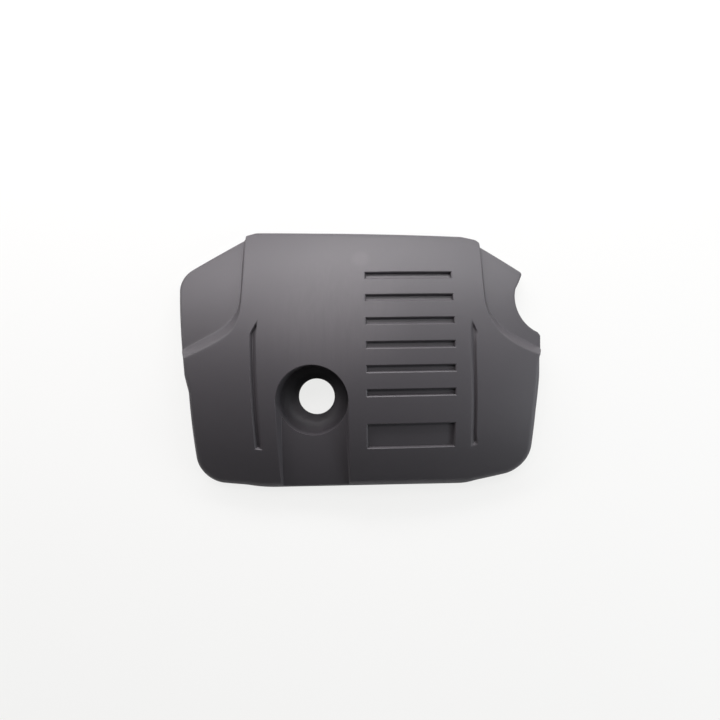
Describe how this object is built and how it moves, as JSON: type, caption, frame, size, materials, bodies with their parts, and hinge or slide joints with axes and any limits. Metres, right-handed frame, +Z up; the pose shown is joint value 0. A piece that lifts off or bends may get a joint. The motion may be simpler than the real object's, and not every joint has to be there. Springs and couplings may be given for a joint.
{
  "type": "engine cover",
  "caption": "Barrel-crowned plastic engine bay cover with grip slots, a bare badge pocket, lowered rear wings and a filler bowl with a run-out channel.",
  "frame": {"origin": "centre of the bounding box in plan, on the plane that the rim rests on", "axes": "+X to the right seen from above with the rear edge up, +Y to the rear of the engine bay, +Z up out of the crown"},
  "size_m": [0.5476, 0.4006, 0.08],
  "materials": {
    "cover_plastic": "fine-grained matte moulding",
    "grommet_rubber": "smooth soft rubber"
  },
  "bodies": {
    "root": {"cover": "cover_plastic", "grommet_rear_left": "grommet_rubber", "grommet_rear_right": "grommet_rubber", "grommet_front_left": "grommet_rubber", "grommet_front_right": "grommet_rubber"}
  },
  "joints": []
}
